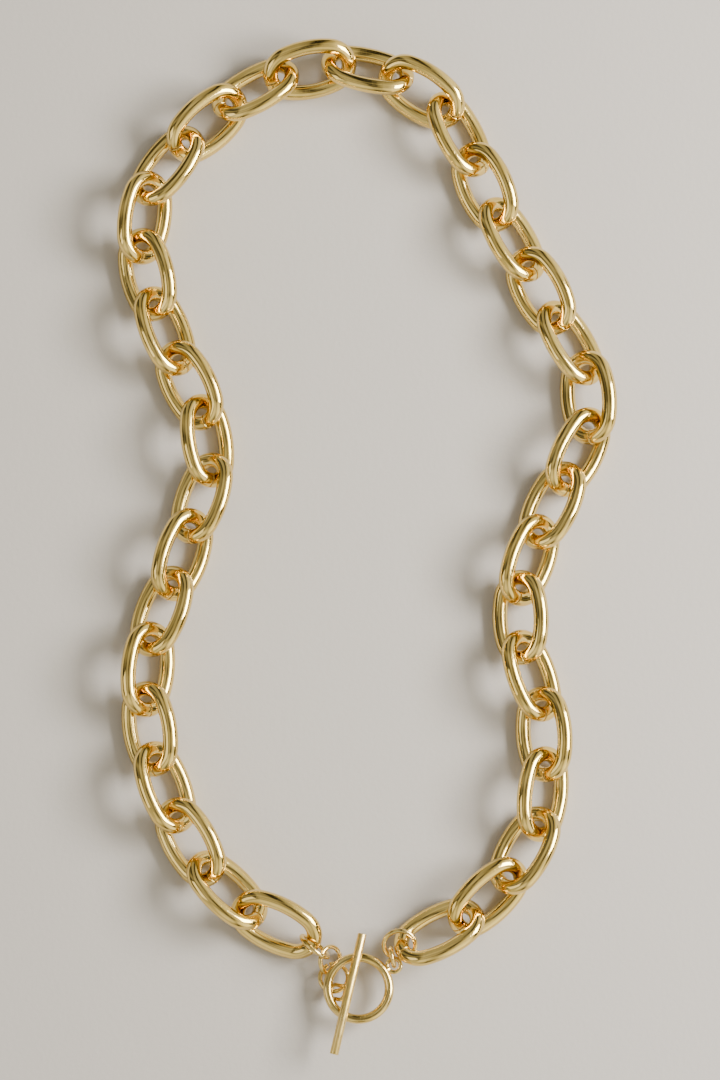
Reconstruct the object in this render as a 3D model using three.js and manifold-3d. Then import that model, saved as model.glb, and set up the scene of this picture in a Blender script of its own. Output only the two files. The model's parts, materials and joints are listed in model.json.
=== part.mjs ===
// Chain necklace: oval links of round wire laid flat in an open loop, closed by a toggle clasp.
// Millimetres, +Z up. The loop lies on the plane z = 0, top of the loop toward +Y.
import * as THREE from 'three';
import { mergeVertices } from 'three/addons/utils/BufferGeometryUtils.js';
import Module from 'manifold-3d';

const wasm = await Module();
wasm.setup();

// ---- chain links ----
const LINK_WIRE = 3.0;
const LINK_LENGTH = 18.8;
const LINK_WIDTH = 12.8;
const BOW_RADIUS = 4.4;
const LINK_ROLL = THREE.MathUtils.degToRad(40);
const LINK_SEAM = 0.22;
const LINKS_LEFT = 17;
const LINKS_RIGHT = 18;

// ---- clasp ----
const JUMP_WIRE = 0.9;
const JUMP_SEAM = 0.14;
const BAR_JUMPS = [3.2, 2.6, 2.7];
const RING_JUMPS = [3.05, 1.85];
const TOGGLE_RADIUS = 5.95;
const TOGGLE_WIRE = 1.8;
const EYE_WIRE = 0.8;
const TOGGLE_EYE = 1.3;
const BAR_LENGTH = 23.8;
const BAR_DIAMETER = 1.7;
const BAR_CHAMFER = 0.12;
const BAR_EYE_WIDTH = 1.35;
const BAR_EYE_LENGTH = 2.4;

// ---- facets ----
const LINK_SIDES = 8;
const JUMP_SIDES = 6;

// Line of the chain from the bar end, over the top, to the ring end.
const chainLine = new THREE.CatmullRomCurve3([
  [-10.9, -77.2], [-25.6, -69.2], [-37.6, -50], [-42.2, -26.5], [-35.4, -3.5],
  [-29.4, 18.5], [-39.2, 41.5], [-44, 65], [-30.6, 84], [-8.6, 95.6],
  [14.2, 89.2], [24.8, 69], [36, 48.8], [45.8, 28], [37.2, 8],
  [30.2, -13], [36, -36], [33, -59.5], [15.9, -76.4], [10.2, -78.6],
].map(([x, y]) => new THREE.Vector3(x, y, 0)), false, 'centripetal');

const bowCentre = (LINK_LENGTH - LINK_WIRE) / 2 - BOW_RADIUS;
const halfLength = (LINK_LENGTH - LINK_WIRE) / 2;
const halfWidth = (LINK_WIDTH - LINK_WIRE) / 2;
const sideRadius = (halfLength ** 2 + halfWidth ** 2 - 2 * halfLength * BOW_RADIUS)
  / (2 * (halfWidth - BOW_RADIUS));
const sideAngle = Math.atan2(bowCentre, sideRadius - halfWidth);
const linkHeight = LINK_WIRE / 2 + halfWidth * Math.sin(LINK_ROLL);

const group = new THREE.Group();
group.name = 'chain_necklace';

// A line whose own parameter is used as its length, so that the steps fall where the arcs meet.
class SteppedLine extends THREE.Curve {
  constructor(place) {
    super();
    this.place = place;
  }

  getPoint(t) {
    return this.place(t);
  }

  getUtoTmapping(u) {
    return u;
  }
}

function arcPoint(x, y, radius, angle) {
  return new THREE.Vector3(x + radius * Math.cos(angle), y + radius * Math.sin(angle), 0);
}

// Oval of four arcs in the xy plane, open by the seam gap at seamAngle on its +x bow.
const LINK_STEPS = 20;
function ovalLine(seamAngle) {
  const gap = LINK_SEAM / 2 / BOW_RADIUS;
  const bowEnd = Math.PI / 2 - sideAngle;
  const lerp = THREE.MathUtils.lerp;
  return new SteppedLine((t) => {
    const k = t * LINK_STEPS;
    if (k < 3) {
      return arcPoint(bowCentre, 0, BOW_RADIUS, lerp(seamAngle + gap, bowEnd, k / 3));
    }
    if (k < 7) {
      return arcPoint(0, halfWidth - sideRadius, sideRadius,
        lerp(bowEnd, Math.PI - bowEnd, (k - 3) / 4));
    }
    if (k < 13) {
      return arcPoint(-bowCentre, 0, BOW_RADIUS,
        lerp(Math.PI - bowEnd, Math.PI + bowEnd, (k - 7) / 6));
    }
    if (k < 17) {
      return arcPoint(0, sideRadius - halfWidth, sideRadius,
        lerp(Math.PI + bowEnd, 2 * Math.PI - bowEnd, (k - 13) / 4));
    }
    return arcPoint(bowCentre, 0, BOW_RADIUS, lerp(-bowEnd, seamAngle - gap, (k - 17) / 3));
  });
}

function roundSection(diameter, sides) {
  const shape = new THREE.Shape();
  for (let i = 0; i < sides; i += 1) {
    const angle = ((i + 0.5) / sides) * 2 * Math.PI;
    const x = (diameter / 2) * Math.cos(angle);
    const y = (diameter / 2) * Math.sin(angle);
    if (i === 0) shape.moveTo(x, y);
    else shape.lineTo(x, y);
  }
  shape.closePath();
  return shape;
}

function sweep(line, diameter, sides, steps) {
  return new THREE.ExtrudeGeometry(roundSection(diameter, sides), {
    extrudePath: line, steps, bevelEnabled: false,
  });
}

function gold(name, geometry, colour, roughness) {
  const material = new THREE.MeshStandardMaterial({ color: colour, roughness, metalness: 1 });
  const mesh = new THREE.Mesh(geometry, material);
  mesh.name = name;
  group.add(mesh);
  return mesh;
}

function frameFrom(xAxis, up, origin) {
  const x = xAxis.clone().normalize();
  const y = new THREE.Vector3().crossVectors(up, x).normalize();
  const z = new THREE.Vector3().crossVectors(x, y);
  return new THREE.Matrix4().makeBasis(x, y, z).setPosition(origin);
}

// ---- the links, each spanning two neighbouring pivots on the chain line ----
const linkCount = LINKS_LEFT + 1 + LINKS_RIGHT;
const pivots = chainLine.getSpacedPoints(linkCount);
const up = new THREE.Vector3(0, 0, 1);
for (let i = 0; i < linkCount; i += 1) {
  const step = i - LINKS_LEFT;
  const side = step < 0 ? 'left' : 'right';
  const name = step === 0 ? 'link_top' : `link_${side}_${String(Math.abs(step)).padStart(2, '0')}`;
  const along = pivots[i + 1].clone().sub(pivots[i]);
  const centre = pivots[i].clone().add(pivots[i + 1]).multiplyScalar(0.5);
  centre.z = linkHeight;
  const roll = step % 2 === 0 ? LINK_ROLL : -LINK_ROLL;
  const turn = step > 0 ? 0 : Math.PI;
  const seamAngle = (i % 3 - 1) * 0.22;
  const geometry = sweep(ovalLine(seamAngle), LINK_WIRE, LINK_SIDES, LINK_STEPS);
  geometry.applyMatrix4(new THREE.Matrix4().makeRotationZ(turn));
  geometry.applyMatrix4(new THREE.Matrix4().makeRotationX(roll));
  geometry.applyMatrix4(frameFrom(along, up, centre));
  gold(name, geometry, 0xd9a94e, 0.16);
}

// ---- jump rings, each a split ring round a centre and an axis ----
const JUMP_STEPS = 14;
function jumpRing(name, radius, centre, axis, seamAngle) {
  const gap = JUMP_SEAM / 2 / radius;
  const line = new SteppedLine((t) => arcPoint(0, 0, radius,
    THREE.MathUtils.lerp(seamAngle + gap, seamAngle + 2 * Math.PI - gap, t)));
  const geometry = sweep(line, JUMP_WIRE, JUMP_SIDES, JUMP_STEPS);
  const spin = new THREE.Quaternion().setFromUnitVectors(up, new THREE.Vector3(...axis).normalize());
  geometry.applyQuaternion(spin);
  geometry.translate(...centre);
  gold(name, geometry, 0xdcb062, 0.18);
}

jumpRing('jump_ring_bar_1', BAR_JUMPS[0], [-8.73, -78.86, 4.1], [0.59, 0.76, 0.27], 2.4);
jumpRing('jump_ring_bar_2', BAR_JUMPS[1], [-5.64, -81.36, 2.2], [0.65, -0.12, 0.75], 0.6);
jumpRing('jump_ring_bar_3', BAR_JUMPS[2], [-4.87, -84.74, 2], [-0.1, 0.13, 0.99], 2.0);
jumpRing('jump_ring_ring_1', RING_JUMPS[0], [7.7, -78.4, 4], [-0.03, -0.5, 0.87], 0.5);
jumpRing('jump_ring_ring_2', RING_JUMPS[1], [6.41, -80.74, 3.1], [-0.97, -0.19, -0.13], 3.6);

// ---- toggle ring with its eye ----
const TOGGLE_CENTRE = new THREE.Vector3(-0.2, -86.8, 3.8);
const TOGGLE_EYE_DIRECTION = THREE.MathUtils.degToRad(33);

function solid(geometry) {
  const bare = geometry.clone();
  bare.deleteAttribute('normal');
  bare.deleteAttribute('uv');
  const merged = mergeVertices(bare, 1e-4);
  return new wasm.Manifold(new wasm.Mesh({
    numProp: 3,
    vertProperties: new Float32Array(merged.attributes.position.array),
    triVerts: new Uint32Array(merged.index.array),
  }));
}

function joined(first, second) {
  const mesh = solid(first).add(solid(second)).getMesh();
  const geometry = new THREE.BufferGeometry();
  geometry.setAttribute('position', new THREE.BufferAttribute(new Float32Array(mesh.vertProperties), 3));
  geometry.setIndex(new THREE.BufferAttribute(new Uint32Array(mesh.triVerts), 1));
  const flat = geometry.toNonIndexed();
  flat.computeVertexNormals();
  return flat;
}

const toggleRing = new THREE.TorusGeometry(TOGGLE_RADIUS, TOGGLE_WIRE / 2, 8, 28);
const toggleEye = new THREE.TorusGeometry(TOGGLE_EYE, EYE_WIRE / 2, 8, 14);
const eyeReach = TOGGLE_RADIUS + TOGGLE_WIRE / 2 + TOGGLE_EYE;
toggleEye.translate(eyeReach * Math.cos(TOGGLE_EYE_DIRECTION), eyeReach * Math.sin(TOGGLE_EYE_DIRECTION), 0);
const toggle = joined(toggleRing, toggleEye);
toggle.translate(...TOGGLE_CENTRE);
gold('toggle_ring', toggle, 0xe0b768, 0.22);

// ---- T-bar with its long eye, lying across the toggle ring ----
const BAR_CENTRE = new THREE.Vector3(-2.3, -88.0, 5.9);
const BAR_DIRECTION = new THREE.Vector3(-0.2245, -0.9745, 0);
const BAR_EYE_SLOPE = THREE.MathUtils.degToRad(55);

const half = BAR_LENGTH / 2;
const barRadius = BAR_DIAMETER / 2;
const bar = new THREE.LatheGeometry([
  new THREE.Vector2(0, -half),
  new THREE.Vector2(barRadius - BAR_CHAMFER, -half),
  new THREE.Vector2(barRadius, -half + BAR_CHAMFER),
  new THREE.Vector2(barRadius, half - BAR_CHAMFER),
  new THREE.Vector2(barRadius - BAR_CHAMFER, half),
  new THREE.Vector2(0, half),
], 12);
// The eye is drawn in the xy plane: x away from the bar, y along it.
const straight = BAR_EYE_LENGTH - BAR_EYE_WIDTH;
const eyeStart = barRadius + EYE_WIRE / 2 - 0.25;
const eyeMiddle = eyeStart + BAR_EYE_LENGTH;
const barEyeLine = new SteppedLine((t) => {
  const k = (t * 16) % 16;
  if (k < 7) return arcPoint(eyeMiddle + straight, 0, BAR_EYE_WIDTH, -Math.PI / 2 + (k / 7) * Math.PI);
  if (k < 8) return new THREE.Vector3(eyeMiddle + straight - 2 * straight * (k - 7), BAR_EYE_WIDTH, 0);
  if (k < 15) return arcPoint(eyeMiddle - straight, 0, BAR_EYE_WIDTH, Math.PI / 2 + ((k - 8) / 7) * Math.PI);
  return new THREE.Vector3(eyeMiddle - straight + 2 * straight * (k - 15), -BAR_EYE_WIDTH, 0);
});

function closedSweep(line, diameter, sides, steps) {
  const positions = [];
  const index = [];
  for (let s = 0; s < steps; s += 1) {
    const centre = line.getPoint(s / steps);
    const ahead = line.getPoint((s + 0.02) / steps);
    const behind = line.getPoint(((s - 0.02) / steps + 1) % 1);
    const tangent = ahead.sub(behind).normalize();
    const outward = new THREE.Vector3(tangent.y, -tangent.x, 0);
    for (let i = 0; i < sides; i += 1) {
      const angle = ((i + 0.5) / sides) * 2 * Math.PI;
      const point = centre.clone().addScaledVector(outward, (diameter / 2) * Math.cos(angle));
      positions.push(point.x, point.y, (diameter / 2) * Math.sin(angle));
      const a = s * sides + i;
      const b = s * sides + ((i + 1) % sides);
      const c = ((s + 1) % steps) * sides + i;
      const d = ((s + 1) % steps) * sides + ((i + 1) % sides);
      index.push(a, c, b, b, c, d);
    }
  }
  const geometry = new THREE.BufferGeometry();
  geometry.setAttribute('position', new THREE.Float32BufferAttribute(positions, 3));
  geometry.setIndex(index);
  return geometry;
}

const barEye = closedSweep(barEyeLine, EYE_WIRE, 8, 16);
const tBar = joined(bar, barEye);
const leftward = new THREE.Vector3(BAR_DIRECTION.y, -BAR_DIRECTION.x, 0);
const eyeAway = leftward.clone().multiplyScalar(Math.cos(BAR_EYE_SLOPE))
  .addScaledVector(up, -Math.sin(BAR_EYE_SLOPE));
const eyeNormal = new THREE.Vector3().crossVectors(eyeAway, BAR_DIRECTION);
tBar.applyMatrix4(new THREE.Matrix4().makeBasis(eyeAway, BAR_DIRECTION, eyeNormal).setPosition(BAR_CENTRE));
gold('toggle_bar', tBar, 0xd8ab5c, 0.34);

// ---- rest the lowest link on z = 0 and centre the loop on x and y ----
group.updateMatrixWorld(true);
const bounds = new THREE.Box3().setFromObject(group, true);
const shift = new THREE.Vector3(
  -(bounds.min.x + bounds.max.x) / 2,
  -(bounds.min.y + bounds.max.y) / 2,
  -bounds.min.z,
);
for (const mesh of group.children) {
  mesh.geometry.translate(shift.x, shift.y, shift.z);
}

export default group;
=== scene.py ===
import json
import math

import bmesh
import bpy
import numpy as np
from mathutils import Matrix, Vector


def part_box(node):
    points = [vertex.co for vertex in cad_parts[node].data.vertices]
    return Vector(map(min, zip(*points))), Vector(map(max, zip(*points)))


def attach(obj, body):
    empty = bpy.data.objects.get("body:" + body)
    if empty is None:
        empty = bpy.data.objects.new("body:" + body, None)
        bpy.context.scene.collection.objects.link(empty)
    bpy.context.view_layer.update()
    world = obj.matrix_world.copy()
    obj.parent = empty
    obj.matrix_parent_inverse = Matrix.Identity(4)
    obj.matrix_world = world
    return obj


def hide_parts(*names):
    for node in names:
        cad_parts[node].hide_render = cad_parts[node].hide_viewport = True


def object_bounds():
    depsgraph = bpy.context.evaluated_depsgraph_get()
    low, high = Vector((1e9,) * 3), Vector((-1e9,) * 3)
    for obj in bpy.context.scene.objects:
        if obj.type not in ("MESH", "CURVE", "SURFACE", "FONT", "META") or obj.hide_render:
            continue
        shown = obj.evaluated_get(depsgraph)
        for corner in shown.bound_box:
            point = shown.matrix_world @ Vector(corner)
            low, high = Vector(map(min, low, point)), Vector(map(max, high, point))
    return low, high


bl_info = {
    "name": "Chain Necklace",
    "version": (1, 0, 0),
    "blender": (4, 5, 0),
    "location": "View3D > Sidebar > Necklace",
    "description": "Bends the links and rings of a chain necklace and makes its toggle clasp",
    "category": "Add Mesh",
}

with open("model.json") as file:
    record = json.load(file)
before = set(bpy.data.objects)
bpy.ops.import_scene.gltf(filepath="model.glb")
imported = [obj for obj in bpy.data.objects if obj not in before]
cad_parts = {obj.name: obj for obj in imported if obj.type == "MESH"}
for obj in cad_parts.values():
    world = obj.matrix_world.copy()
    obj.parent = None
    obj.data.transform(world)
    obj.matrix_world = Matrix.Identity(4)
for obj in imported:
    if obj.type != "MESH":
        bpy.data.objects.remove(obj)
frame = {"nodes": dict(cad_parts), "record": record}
cad_low, cad_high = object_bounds()

# Steps along and around each kind of wire or turned shape
LINK_SAMPLES, LINK_SIDES = 132, 28
RING_SAMPLES, RING_SIDES = 84, 18
RIM_SAMPLES, RIM_SIDES = 176, 36
EYE_SAMPLES, EYE_SIDES = 60, 20
EYE_STRAIGHT_SAMPLES = 8
BAR_SIDES = 56
SOLDER_SIDES = 32
EDGE_STEPS = 4

# Faces that meet more sharply than this keep a crisp edge
SHARP_ANGLE = math.radians(50)

# Soldered pieces are joined in millimetres, and points nearer than the weld then become one
JOIN_SCALE = 1000
WELD = 0.0005

# The seam moves round the bow by this much from one link to the next, in threes
SEAM_STEP = 0.22

# The bar's cut ends, how far its eye is sunk in its side, and the floor's clearance
BAR_CHAMFER = 0.00012
EYE_SINK = 0.00025
FLOOR_DROP = 0.00006

# Brightness of the room's panels: across it from left to right, and along it from near to far
ROOM_ACROSS = ((0.0, 0.04), (0.10, 0.25), (0.22, 0.05), (0.30, 0.85), (0.40, 0.75), (0.48, 0.55),
               (0.53, 0.02), (0.59, 0.06), (0.66, 1.00), (0.78, 2.00), (0.88, 2.40), (0.93, 0.08),
               (1.0, 0.03))
ROOM_ALONG = ((0.0, 0.15), (0.12, 1.30), (0.24, 0.90), (0.33, 0.03), (0.44, 0.35), (0.54, 0.02),
              (0.68, 0.45), (0.80, 0.02), (1.0, 0.01))


class NecklaceSizes(bpy.types.PropertyGroup):
    link_wire: bpy.props.FloatProperty(
        name="Link wire", description="Diameter of the wire that the links are bent from",
        default=0.003, min=0.001, unit="LENGTH")
    link_length: bpy.props.FloatProperty(
        name="Link length", description="Outer length of a link", default=0.0188, min=0.005,
        unit="LENGTH")
    link_width: bpy.props.FloatProperty(
        name="Link width", description="Outer width of a link", default=0.0128, min=0.004,
        unit="LENGTH")
    bow_radius: bpy.props.FloatProperty(
        name="Bow radius", description="Radius of the wire's middle line round a link's ends",
        default=0.0044, min=0.001, unit="LENGTH")
    link_lean: bpy.props.FloatProperty(
        name="Link lean", description="How far a link leans to one side about its long axis",
        default=math.radians(40), subtype="ANGLE")
    link_seam: bpy.props.FloatProperty(
        name="Link seam", description="Gap where a link's two wire ends meet",
        default=0.00016, min=0.0, unit="LENGTH")
    edge_break: bpy.props.FloatProperty(
        name="Edge break", description="Rounding of a cut wire end", default=0.00016, min=0.0,
        unit="LENGTH")
    jump_wire: bpy.props.FloatProperty(
        name="Jump ring wire", description="Diameter of the jump rings' wire",
        default=0.0009, min=0.0003, unit="LENGTH")
    jump_seam: bpy.props.FloatProperty(
        name="Jump ring seam", description="Gap in a jump ring", default=0.0001, min=0.0,
        unit="LENGTH")
    toggle_radius: bpy.props.FloatProperty(
        name="Toggle ring radius", description="Radius of the toggle ring's middle line",
        default=0.00595, min=0.002, unit="LENGTH")
    toggle_wire: bpy.props.FloatProperty(
        name="Toggle ring wire", description="Thickness of the toggle ring",
        default=0.0018, min=0.0005, unit="LENGTH")
    toggle_eye: bpy.props.FloatProperty(
        name="Toggle eye radius", description="Radius of the small eye soldered on the ring",
        default=0.0013, min=0.0005, unit="LENGTH")
    toggle_eye_turn: bpy.props.FloatProperty(
        name="Toggle eye place", description="Where the eye sits round the toggle ring",
        default=math.radians(33), subtype="ANGLE")
    eye_wire: bpy.props.FloatProperty(
        name="Eye wire", description="Diameter of the wire of both soldered eyes",
        default=0.0008, min=0.0003, unit="LENGTH")
    bar_length: bpy.props.FloatProperty(
        name="Bar length", description="Length of the T-bar", default=0.0238, min=0.01,
        unit="LENGTH")
    bar_diameter: bpy.props.FloatProperty(
        name="Bar diameter", description="Diameter of the T-bar", default=0.0017, min=0.0005,
        unit="LENGTH")
    bar_eye_width: bpy.props.FloatProperty(
        name="Bar eye width", description="Radius of the bar eye's round ends",
        default=0.00135, min=0.0005, unit="LENGTH")
    bar_eye_length: bpy.props.FloatProperty(
        name="Bar eye length", description="Half length of the bar's long eye",
        default=0.0024, min=0.0005, unit="LENGTH")
    bar_eye_slope: bpy.props.FloatProperty(
        name="Bar eye slope", description="How steeply the bar's eye hangs down",
        default=math.radians(55), subtype="ANGLE")


class NecklaceFinish(bpy.types.PropertyGroup):
    link_gold: bpy.props.FloatVectorProperty(
        name="Link gold", description="Colour of the polished links", subtype="COLOR", size=3,
        min=0, max=1, default=(0.89, 0.66, 0.22))
    link_shade: bpy.props.FloatVectorProperty(
        name="Link shade", description="Deeper tone in the links' plating", subtype="COLOR",
        size=3, min=0, max=1, default=(0.78, 0.56, 0.16))
    clasp_gold: bpy.props.FloatVectorProperty(
        name="Clasp gold", description="Colour of the jump rings and toggle ring",
        subtype="COLOR", size=3, min=0, max=1, default=(0.90, 0.68, 0.27))
    bar_gold: bpy.props.FloatVectorProperty(
        name="Bar gold", description="Colour of the satin T-bar", subtype="COLOR", size=3,
        min=0, max=1, default=(0.87, 0.65, 0.25))
    polish: bpy.props.FloatProperty(
        name="Link roughness", description="Roughness of the polished links",
        default=0.075, min=0.0, max=1.0, subtype="FACTOR")
    satin: bpy.props.FloatProperty(
        name="Bar roughness", description="Roughness of the satin T-bar",
        default=0.30, min=0.0, max=1.0, subtype="FACTOR")
    floor: bpy.props.FloatVectorProperty(
        name="Floor", description="Colour of the floor", subtype="COLOR", size=3, min=0, max=1,
        default=(0.54, 0.505, 0.465))


# ---- wire bending ----

def arc(centre_x, centre_y, radius, start, end, count):
    """Points along an arc, without the last one."""
    angles = np.linspace(start, end, count, endpoint=False)
    return np.stack([centre_x + radius * np.cos(angles), centre_y + radius * np.sin(angles)], 1)


def link_line(sizes, seam_angle):
    """The middle line of a link: an oval of four arcs, open at the seam in its +x bow."""
    a = (sizes.link_length - sizes.link_wire) / 2
    b = (sizes.link_width - sizes.link_wire) / 2
    r = sizes.bow_radius
    side = (a * a + b * b - 2 * a * r) / (2 * (b - r))
    bow_x = a - r
    bow_end = math.pi / 2 - math.atan2(bow_x, side - b)
    bow_count, side_count = LINK_SAMPLES // 3, LINK_SAMPLES // 6
    oval = np.concatenate([
        arc(bow_x, 0, r, seam_angle, bow_end, bow_count // 2),
        arc(0, b - side, side, bow_end, math.pi - bow_end, side_count),
        arc(-bow_x, 0, r, math.pi - bow_end, math.pi + bow_end, bow_count),
        arc(0, side - b, side, math.pi + bow_end, 2 * math.pi - bow_end, side_count),
        arc(bow_x, 0, r, -bow_end, seam_angle, bow_count // 2),
    ])
    return trimmed(np.vstack([oval, oval[:1]]), sizes.link_seam / 2 + sizes.edge_break)


def trimmed(points, cut):
    """The line with its two ends pulled back by cut."""
    for _ in range(2):
        step = points[1] - points[0]
        points[0] = points[0] + step * min(0.9, cut / np.linalg.norm(step))
        points = points[::-1].copy()
    return points


def swept(points, radius, sides, edge, closed):
    """A bmesh of round wire along a line in the xy plane. An open wire gets edge-broken ends."""
    points = np.asarray(points, float)
    if closed:
        tangents = np.roll(points, -1, 0) - np.roll(points, 1, 0)
    else:
        tangents = np.gradient(points, axis=0)
    tangents /= np.linalg.norm(tangents, axis=1)[:, None]
    rings = [(point, tangent, radius) for point, tangent in zip(points, tangents)]
    if not closed:
        turns = [math.pi / 2 * k / EDGE_STEPS for k in range(1, EDGE_STEPS + 1)]
        head = [(points[0] - tangents[0] * edge * math.sin(t), tangents[0],
                 radius - edge * (1 - math.cos(t))) for t in reversed(turns)]
        tail = [(points[-1] + tangents[-1] * edge * math.sin(t), tangents[-1],
                 radius - edge * (1 - math.cos(t))) for t in turns]
        rings = head + rings + tail
    bm = bmesh.new()
    loops = []
    for centre, tangent, r in rings:
        outward = Vector((tangent[1], -tangent[0], 0))
        middle = Vector((centre[0], centre[1], 0))
        loop = []
        for k in range(sides):
            angle = 2 * math.pi * k / sides
            rise = Vector((0, 0, r * math.sin(angle)))
            loop.append(bm.verts.new(middle + outward * (r * math.cos(angle)) + rise))
        loops.append(loop)
    pairs = list(zip(loops, loops[1:]))
    if closed:
        pairs.append((loops[-1], loops[0]))
    for one, two in pairs:
        for k in range(sides):
            n = (k + 1) % sides
            bm.faces.new((one[k], one[n], two[n], two[k]))
    if not closed:
        bm.faces.new(loops[0][::-1])
        bm.faces.new(loops[-1])
    bmesh.ops.recalc_face_normals(bm, faces=bm.faces)
    return bm


def turned(profile, sides):
    """A bmesh turned about the x axis from (x, radius) points that start and end on the axis."""
    bm = bmesh.new()
    first = bm.verts.new((profile[0][0], 0, 0))
    last = bm.verts.new((profile[-1][0], 0, 0))
    loops = []
    for x, r in profile[1:-1]:
        angles = [2 * math.pi * k / sides for k in range(sides)]
        loops.append([bm.verts.new((x, r * math.cos(a), r * math.sin(a))) for a in angles])
    for k in range(sides):
        n = (k + 1) % sides
        bm.faces.new((first, loops[0][n], loops[0][k]))
        bm.faces.new((last, loops[-1][k], loops[-1][n]))
        for one, two in zip(loops, loops[1:]):
            bm.faces.new((one[k], one[n], two[n], two[k]))
    bmesh.ops.recalc_face_normals(bm, faces=bm.faces)
    return bm


def shade_smooth(mesh):
    """Smooth shading with crisp edges where the shape has them."""
    mesh.polygons.foreach_set("use_smooth", [True] * len(mesh.polygons))
    mesh.set_sharp_from_angle(angle=SHARP_ANGLE)


def piece_from(bm, name, place):
    """A smooth-shaded object from a bmesh, moved to its place in the necklace."""
    mesh = bpy.data.meshes.new(name)
    bm.transform(place)
    bm.to_mesh(mesh)
    bm.free()
    shade_smooth(mesh)
    piece = bpy.data.objects.new(name, mesh)
    bpy.context.scene.collection.objects.link(piece)
    return piece


def joined(pieces):
    """The first piece with the others joined to it as one solid."""
    body = pieces[0]
    for piece in pieces:
        piece.data.transform(Matrix.Scale(JOIN_SCALE, 4))
    for other in pieces[1:]:
        join = body.modifiers.new("join", "BOOLEAN")
        join.operation = "UNION"
        join.solver = "EXACT"
        join.object = other
    bpy.context.view_layer.update()
    evaluated = body.evaluated_get(bpy.context.evaluated_depsgraph_get())
    mesh = bpy.data.meshes.new_from_object(evaluated)
    body.modifiers.clear()
    body.data = mesh
    bm = bmesh.new()
    bm.from_mesh(mesh)
    bmesh.ops.remove_doubles(bm, verts=bm.verts, dist=WELD)
    bmesh.ops.dissolve_degenerate(bm, edges=bm.edges, dist=WELD)
    bm.to_mesh(mesh)
    bm.free()
    mesh.transform(Matrix.Scale(1 / JOIN_SCALE, 4))
    shade_smooth(mesh)
    for other in pieces[1:]:
        bpy.data.objects.remove(other)
    return body


def finished(piece, node, material):
    """Gives a piece its metal and lets it stand for its CAD node."""
    piece.data.materials.clear()
    piece.data.materials.append(material)
    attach(piece, node)
    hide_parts(node)


# ---- metal ----

def gold(name, colour, shade, roughness, ripple, scratch):
    """Plated gold: a drifting tone, a faint ripple in the polish, and fine wear marks."""
    material = bpy.data.materials.get(name)
    if material:
        return material
    material = bpy.data.materials.new(name)
    material.use_nodes = True
    nodes, links = material.node_tree.nodes, material.node_tree.links
    shader = nodes["Principled BSDF"]
    shader.inputs["Metallic"].default_value = 1.0
    place = nodes.new("ShaderNodeTexCoord")

    def noise(scale, detail, vector=None):
        node = nodes.new("ShaderNodeTexNoise")
        node.inputs["Scale"].default_value = scale
        node.inputs["Detail"].default_value = detail
        links.new(vector or place.outputs["Object"], node.inputs["Vector"])
        return node.outputs["Fac"]

    def spread(value, low, high, to_low, to_high):
        node = nodes.new("ShaderNodeMapRange")
        node.inputs["From Min"].default_value = low
        node.inputs["From Max"].default_value = high
        node.inputs["To Min"].default_value = to_low
        node.inputs["To Max"].default_value = to_high
        links.new(value, node.inputs["Value"])
        return node.outputs["Result"]

    def hairlines(turn, density):
        stretch = nodes.new("ShaderNodeMapping")
        stretch.inputs["Rotation"].default_value = turn
        stretch.inputs["Scale"].default_value = (1.0, 0.06, 1.0)
        links.new(place.outputs["Object"], stretch.inputs["Vector"])
        streaks = noise(density, 2.0, stretch.outputs["Vector"])
        return spread(streaks, 0.62, 0.72, 0.0, 1.0)

    def math_node(operation, one, two):
        node = nodes.new("ShaderNodeMath")
        node.operation = operation
        links.new(one, node.inputs[0])
        if isinstance(two, float):
            node.inputs[1].default_value = two
        else:
            links.new(two, node.inputs[1])
        return node.outputs["Value"]

    tone = nodes.new("ShaderNodeMix")
    tone.data_type = "RGBA"
    drift = noise(160.0, 3.0)
    links.new(spread(drift, 0.35, 0.7, 0.0, 1.0), tone.inputs["Factor"])
    tone.inputs["A"].default_value = (*colour, 1.0)
    tone.inputs["B"].default_value = (*shade, 1.0)
    links.new(tone.outputs["Result"], shader.inputs["Base Color"])

    wiped = hairlines((0.3, 0.2, 0.7), 5200.0)
    rubbed = hairlines((1.1, 0.4, 2.1), 6100.0)
    marks = math_node("MAXIMUM", wiped, rubbed)
    haze = spread(noise(620.0, 4.0), 0.3, 0.75, roughness * 0.75, roughness * 1.45)
    worn = math_node("ADD", haze, math_node("MULTIPLY", marks, scratch))
    links.new(worn, shader.inputs["Roughness"])

    wave = nodes.new("ShaderNodeBump")
    wave.inputs["Distance"].default_value = ripple
    wave.inputs["Strength"].default_value = 1.0
    links.new(noise(330.0, 2.0), wave.inputs["Height"])
    nick = nodes.new("ShaderNodeBump")
    nick.inputs["Distance"].default_value = 0.000004
    nick.inputs["Strength"].default_value = 0.6
    nick.invert = True
    links.new(marks, nick.inputs["Height"])
    links.new(wave.outputs["Normal"], nick.inputs["Normal"])
    links.new(nick.outputs["Normal"], shader.inputs["Normal"])
    return material


# ---- places, from the frame ----

def pivots():
    """Where each moving piece is hinged, by the piece's name."""
    return {j["child"]: Vector(j["pos_m"]) for j in frame["record"]["behaviour"]["joints"]}


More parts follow.
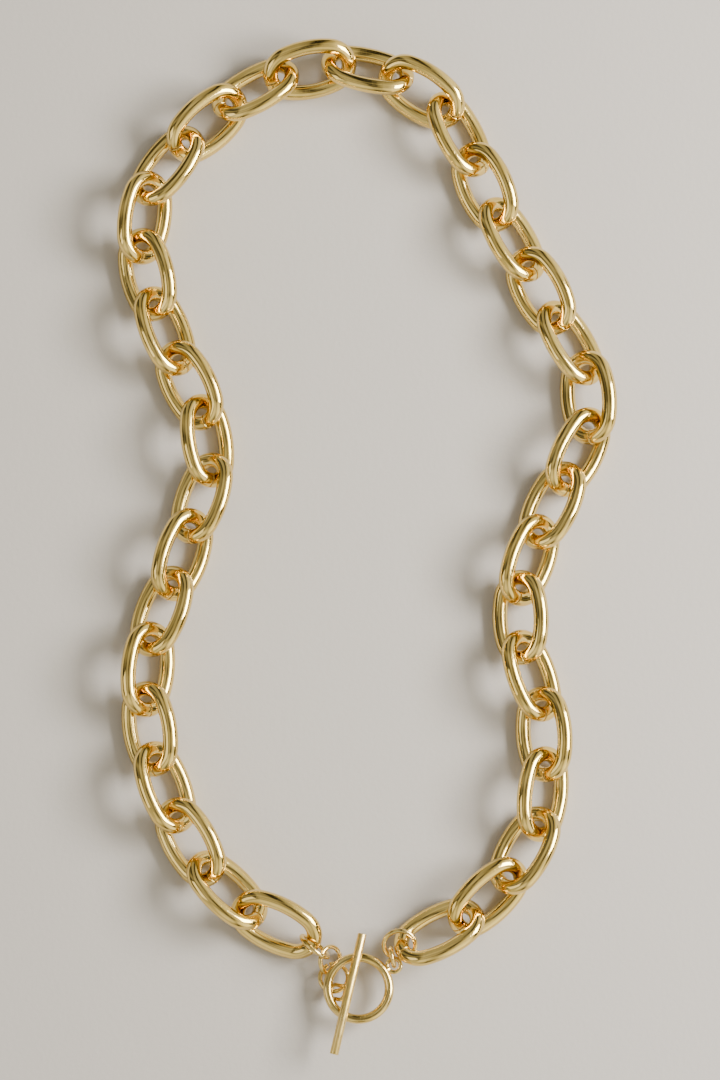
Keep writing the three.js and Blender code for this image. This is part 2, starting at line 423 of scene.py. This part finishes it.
def link_places(sizes):
    """(name, place matrix, seam angle) of every link, from one end of the chain to the other."""
    at = pivots()
    left = sorted((n for n in at if n.startswith("link_left")), reverse=True)
    right = sorted(n for n in at if n.startswith("link_right"))
    names = left + ["link_top"] + right
    ends = [at["jump_ring_bar_1"]] + [at[n] for n in left]
    ends += [at[n] for n in right] + [at["jump_ring_ring_1"]]
    up = Vector((0, 0, 1))
    for i, name in enumerate(names):
        step = i - len(left)
        x = (ends[i + 1] - ends[i]).normalized()
        y = up.cross(x)
        lean = sizes.link_lean if step % 2 == 0 else -sizes.link_lean
        turn = 0 if step > 0 else math.pi
        axes = Matrix((x, y, up)).transposed().to_4x4()
        middle = (ends[i] + ends[i + 1]) / 2
        place = Matrix.Translation(middle) @ axes @ Matrix.Rotation(lean, 4, "X")
        yield name, place @ Matrix.Rotation(turn, 4, "Z"), (i % 3 - 1) * SEAM_STEP


def ring_place(node):
    """(place, middle radius, seam angle) of a CAD ring: its plane, best circle and open side."""
    points = np.array([v.co for v in frame["nodes"][node].data.vertices], float)
    middle = points.mean(0)
    axes = np.linalg.svd(points - middle, full_matrices=False)[2]
    axes[2] = np.cross(axes[0], axes[1])
    flat = (points - middle) @ axes[:2].T
    terms = np.column_stack([2 * flat, np.ones(len(flat))])
    fit = np.linalg.lstsq(terms, (flat ** 2).sum(1), rcond=None)[0][:2]
    centre = middle + fit @ axes[:2]
    reach = np.linalg.norm(flat - fit, axis=1)
    around = np.sort(np.arctan2(flat[:, 1] - fit[1], flat[:, 0] - fit[0]))
    steps = np.diff(np.append(around, around[0] + 2 * math.pi))
    # Corners of one wire section share a direction within this angle. The seam is the narrowest
    # step between two sections.
    same_section = 0.02
    opening, i = min((step, i) for i, step in enumerate(steps) if step > same_section)
    seam = around[i] + opening / 2
    turn = Matrix([Vector(a) for a in axes]).transposed().to_4x4()
    return Matrix.Translation(Vector(centre)) @ turn, (reach.min() + reach.max()) / 2, seam


# ---- operators ----

def settings(context):
    """The sizes and the finishes that a user can change."""
    return context.scene.necklace_sizes, context.scene.necklace_finish


class NECKLACE_OT_links(bpy.types.Operator):
    """Bend every link of the chain from round wire, with its butt seam"""
    bl_idname = "necklace.links"
    bl_label = "Bend the links"

    def execute(self, context):
        sizes, finish = settings(context)
        metal = gold("polished_gold", finish.link_gold, finish.link_shade, finish.polish,
                     ripple=0.00003, scratch=0.12)
        for name, place, seam_angle in link_places(sizes):
            line = link_line(sizes, seam_angle)
            wire = swept(line, sizes.link_wire / 2, LINK_SIDES, sizes.edge_break, False)
            finished(piece_from(wire, name + "_wire", place), name, metal)
        return {"FINISHED"}


class NECKLACE_OT_jump_rings(bpy.types.Operator):
    """Bend the thin split rings that join the chain to its clasp"""
    bl_idname = "necklace.jump_rings"
    bl_label = "Bend the jump rings"

    def execute(self, context):
        sizes, finish = settings(context)
        metal = gold("jump_ring_gold", finish.clasp_gold, finish.link_shade,
                     finish.polish * 1.4, ripple=0.00001, scratch=0.16)
        edge = sizes.edge_break / 2
        names = sorted(n for n in frame["nodes"] if n.startswith("jump_ring"))
        for name in names:
            place, radius, seam = ring_place(name)
            gap = (sizes.jump_seam / 2 + edge) / radius
            line = arc(0, 0, radius, seam + gap, seam + 2 * math.pi - gap, RING_SAMPLES)
            wire = swept(line, sizes.jump_wire / 2, RING_SIDES, edge, False)
            finished(piece_from(wire, name + "_wire", place), name, metal)
        return {"FINISHED"}


class NECKLACE_OT_toggle_ring(bpy.types.Operator):
    """Make the toggle ring with its small eye soldered to the rim"""
    bl_idname = "necklace.toggle_ring"
    bl_label = "Make the toggle ring"

    def execute(self, context):
        sizes, finish = settings(context)
        metal = gold("toggle_gold", finish.clasp_gold, finish.link_shade,
                     finish.polish * 1.7, ripple=0.00002, scratch=0.16)
        low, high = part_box("toggle_ring")
        reach = sizes.toggle_radius + sizes.toggle_wire / 2
        middle = Vector((low.x + reach, low.y + reach, (low.z + high.z) / 2))
        place = Matrix.Translation(middle) @ Matrix.Rotation(sizes.toggle_eye_turn, 4, "Z")
        full = 2 * math.pi
        rim_line = arc(0, 0, sizes.toggle_radius, 0, full, RIM_SAMPLES)
        rim = swept(rim_line, sizes.toggle_wire / 2, RIM_SIDES, 0, True)
        eye_line = arc(reach + sizes.toggle_eye, 0, sizes.toggle_eye, 0, full, EYE_SAMPLES)
        eye = swept(eye_line, sizes.eye_wire / 2, EYE_SIDES, 0, True)
        wide, neck = sizes.eye_wire * 0.85, sizes.eye_wire * 0.62
        solder = turned([
            (reach - 0.0005, 0), (reach - 0.0005, wide), (reach - 0.00015, wide * 0.9),
            (reach + 0.0001, neck), (reach + 0.0003, neck * 0.86), (reach + 0.0004, 0),
        ], SOLDER_SIDES)
        pieces = [piece_from(rim, "toggle_ring_cast", place),
                  piece_from(eye, "toggle_eye", place), piece_from(solder, "solder", place)]
        finished(joined(pieces), "toggle_ring", metal)
        return {"FINISHED"}


class NECKLACE_OT_toggle_bar(bpy.types.Operator):
    """Make the T-bar with its square-cut ends and its long soldered eye"""
    bl_idname = "necklace.toggle_bar"
    bl_label = "Make the T-bar"

    def execute(self, context):
        sizes, finish = settings(context)
        metal = gold("satin_gold", finish.bar_gold, finish.link_shade, finish.satin,
                     ripple=0.00001, scratch=0.22)
        mount = frame["record"]["mounts"][0]
        along = Vector(mount["axis"]).normalized()
        half, radius = sizes.bar_length / 2, sizes.bar_diameter / 2
        middle = Vector(mount["pos_m"]) - along * half
        outward = Vector((along.y, -along.x, 0))
        down = Vector((0, 0, -math.sin(sizes.bar_eye_slope)))
        away = outward * math.cos(sizes.bar_eye_slope) + down
        axes = Matrix((away, along, away.cross(along))).transposed().to_4x4()
        place = Matrix.Translation(middle) @ axes
        chamfer, round_off = BAR_CHAMFER, BAR_CHAMFER * 0.3
        end = [(half, 0), (half, radius - chamfer), (half - round_off, radius - round_off),
               (half - chamfer, radius)]
        bar = turned([(-x, r) for x, r in end] + end[::-1], BAR_SIDES)
        bar.transform(Matrix.Rotation(math.pi / 2, 4, "Z"))
        width = sizes.bar_eye_width
        straight = sizes.bar_eye_length - width
        centre = radius + sizes.eye_wire / 2 - EYE_SINK + sizes.bar_eye_length
        near, far = centre - straight, centre + straight
        quarter, bend = math.pi / 2, EYE_SAMPLES // 2
        eye_line = np.concatenate([
            arc(far, 0, width, -quarter, quarter, bend),
            np.linspace((far, width), (near, width), EYE_STRAIGHT_SAMPLES, endpoint=False),
            arc(near, 0, width, quarter, 3 * quarter, bend),
            np.linspace((near, -width), (far, -width), EYE_STRAIGHT_SAMPLES, endpoint=False),
        ])
        eye = swept(eye_line, sizes.eye_wire / 2, EYE_SIDES, 0, True)
        wide = sizes.eye_wire * 0.9
        solder = turned([
            (radius * 0.3, 0), (radius * 0.3, wide), (radius * 0.85, wide),
            (radius * 1.15, wide * 0.72), (radius * 1.4, wide * 0.62), (radius * 1.5, 0),
        ], SOLDER_SIDES)
        pieces = [piece_from(bar, "toggle_bar_turned", place),
                  piece_from(eye, "bar_eye", place), piece_from(solder, "bar_solder", place)]
        finished(joined(pieces), "toggle_bar", metal)
        return {"FINISHED"}


def floor_material(colour):
    """Pale matt card with a fine grain."""
    material = bpy.data.materials.new("pale_card")
    material.use_nodes = True
    nodes, links = material.node_tree.nodes, material.node_tree.links
    shader = nodes["Principled BSDF"]
    shader.inputs["Base Color"].default_value = (*colour, 1.0)
    shader.inputs["Roughness"].default_value = 0.85
    grain = nodes.new("ShaderNodeTexNoise")
    grain.inputs["Scale"].default_value = 900.0
    bump = nodes.new("ShaderNodeBump")
    bump.inputs["Distance"].default_value = 0.00004
    place = nodes.new("ShaderNodeTexCoord")
    links.new(place.outputs["Object"], grain.inputs["Vector"])
    links.new(grain.outputs["Fac"], bump.inputs["Height"])
    links.new(bump.outputs["Normal"], shader.inputs["Normal"])
    return material


def softbox(name, place, width, height, power, colour):
    """A rectangular studio light that faces the middle of the necklace."""
    light = bpy.data.lights.new(name, "AREA")
    light.shape = "RECTANGLE"
    light.size = width
    light.size_y = height
    light.energy = power
    light.color = colour
    lamp = bpy.data.objects.new(name, light)
    lamp.location = place
    lamp.rotation_euler = (-Vector(place)).to_track_quat("-Z", "Y").to_euler()
    bpy.context.scene.collection.objects.link(lamp)


def studio_room():
    """The room round the necklace: soft pale panels with darker gaps, brighter to the right."""
    world = bpy.data.worlds.new("studio_room")
    world.use_nodes = True
    nodes, links = world.node_tree.nodes, world.node_tree.links
    place = nodes.new("ShaderNodeTexCoord")
    split = nodes.new("ShaderNodeSeparateXYZ")
    links.new(place.outputs["Generated"], split.inputs["Vector"])
    total = nodes.new("ShaderNodeMix")
    total.data_type = "RGBA"
    total.blend_type = "ADD"
    total.inputs["Factor"].default_value = 1.0
    for axis, stops, socket in (("X", ROOM_ACROSS, "A"), ("Y", ROOM_ALONG, "B")):
        reach = nodes.new("ShaderNodeMapRange")
        reach.inputs["From Min"].default_value = -1.0
        links.new(split.outputs[axis], reach.inputs["Value"])
        ramp = nodes.new("ShaderNodeValToRGB")
        ramp.color_ramp.interpolation = "EASE"
        while len(ramp.color_ramp.elements) < len(stops):
            ramp.color_ramp.elements.new(0.5)
        # Moving a stop can change the order of the rest, so colours wait until all are placed
        for stop, (position, _) in zip(ramp.color_ramp.elements, stops):
            stop.position = position
        for stop, (_, shade) in zip(ramp.color_ramp.elements, stops):
            stop.color = (shade, shade * 0.95, shade * 0.79, 1.0)
        links.new(reach.outputs["Result"], ramp.inputs["Fac"])
        links.new(ramp.outputs["Color"], total.inputs[socket])
    sky = nodes["Background"]
    links.new(total.outputs["Result"], sky.inputs["Color"])
    sky.inputs["Strength"].default_value = 0.58
    return world


class NECKLACE_OT_stage(bpy.types.Operator):
    """Lay the floor, set the soft lights and place the camera above the necklace"""
    bl_idname = "necklace.stage"
    bl_label = "Set the stage"

    def execute(self, context):
        scene, finish = context.scene, context.scene.necklace_finish
        bm = bmesh.new()
        bmesh.ops.create_grid(bm, x_segments=1, y_segments=1, size=2.0)
        floor = piece_from(bm, "floor", Matrix.Translation((0, 0, cad_low.z - FLOOR_DROP)))
        floor.data.materials.append(floor_material(finish.floor))
        softbox("window_light", place=(0.52, 0.06, 0.40), width=0.42, height=0.30, power=11.0,
                colour=(1.0, 0.98, 0.95))
        softbox("side_fill", place=(-0.75, -0.25, 0.55), width=0.5, height=0.5, power=1.2,
                colour=(1.0, 0.96, 0.91))
        scene.world = studio_room()
        camera = bpy.data.cameras.new("camera")
        camera.lens = 154.2
        camera.sensor_width = 36.0
        camera.clip_start = 0.05
        eye = bpy.data.objects.new("camera", camera)
        eye.location = (-0.047, -0.1221, 0.9)
        eye.rotation_euler = (math.radians(7.76), math.radians(-2.98), math.radians(0.29))
        scene.collection.objects.link(eye)
        scene.camera = eye
        return {"FINISHED"}


class NECKLACE_PT_panel(bpy.types.Panel):
    """The necklace's sizes, finishes and making steps"""
    bl_idname = "NECKLACE_PT_panel"
    bl_label = "Chain Necklace"
    bl_space_type = "VIEW_3D"
    bl_region_type = "UI"
    bl_category = "Necklace"

    def draw(self, context):
        for group in (context.scene.necklace_sizes, context.scene.necklace_finish):
            box = self.layout.box()
            for name in group.__annotations__:
                box.prop(group, name)
        for operator in OPERATORS:
            self.layout.operator(operator.bl_idname)


OPERATORS = (NECKLACE_OT_links, NECKLACE_OT_jump_rings, NECKLACE_OT_toggle_ring,
             NECKLACE_OT_toggle_bar, NECKLACE_OT_stage)
CLASSES = (NecklaceSizes, NecklaceFinish, *OPERATORS, NECKLACE_PT_panel)


def register():
    for cls in CLASSES:
        bpy.utils.register_class(cls)
    bpy.types.Scene.necklace_sizes = bpy.props.PointerProperty(type=NecklaceSizes)
    bpy.types.Scene.necklace_finish = bpy.props.PointerProperty(type=NecklaceFinish)


def unregister():
    del bpy.types.Scene.necklace_finish
    del bpy.types.Scene.necklace_sizes
    for cls in reversed(CLASSES):
        bpy.utils.unregister_class(cls)


def main():
    register()
    bpy.ops.necklace.links()
    bpy.ops.necklace.jump_rings()
    bpy.ops.necklace.toggle_ring()
    bpy.ops.necklace.toggle_bar()
    bpy.ops.necklace.stage()


if __name__ == "__main__":
    main()
